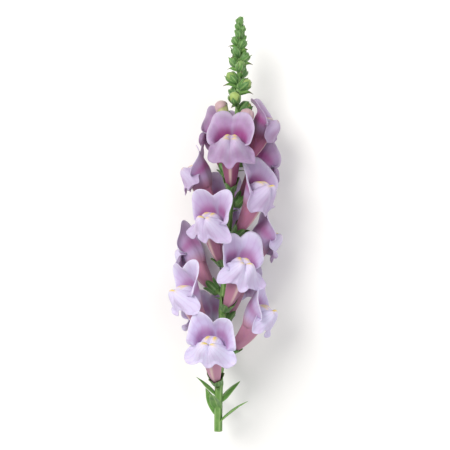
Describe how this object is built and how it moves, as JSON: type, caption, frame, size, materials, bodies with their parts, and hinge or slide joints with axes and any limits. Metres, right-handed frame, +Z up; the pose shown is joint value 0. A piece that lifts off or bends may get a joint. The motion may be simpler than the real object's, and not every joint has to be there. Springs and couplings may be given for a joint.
{
  "type": "snapdragon stem",
  "caption": "Cut flower spike lying down: upright green stem with lance-shaped leaves, two-lipped lilac and pink corollas set in a spiral, and a tapering tip of closed green buds.",
  "frame": {"origin": "centre of the box that holds the whole stem, on the surface it lies on", "axes": "+Y along the stem from its cut end to its tip, +Z up from the surface, +X to its right as it is looked down on"},
  "size_m": [0.0674, 0.2584, 0.0627],
  "materials": {
    "stem_green": "satin",
    "petal_lilac": "soft satin",
    "bud_cream": "soft satin"
  },
  "bodies": {
    "root": {"leafy_stem": "stem_green", "flower_01": "petal_lilac", "flower_02": "petal_lilac", "flower_03": "petal_lilac", "flower_04": "petal_lilac", "flower_05": "petal_lilac", "flower_06": "petal_lilac", "flower_07": "petal_lilac", "flower_08": "petal_lilac", "flower_09": "petal_lilac", "flower_10": "petal_lilac", "flower_11": "petal_lilac", "flower_12": "petal_lilac", "flower_13": "petal_lilac", "flower_14": "petal_lilac", "young_flower_1": "petal_lilac", "young_flower_2": "petal_lilac", "large_bud_1": "bud_cream", "large_bud_2": "bud_cream", "large_bud_3": "bud_cream", "large_bud_4": "bud_cream"}
  },
  "joints": []
}
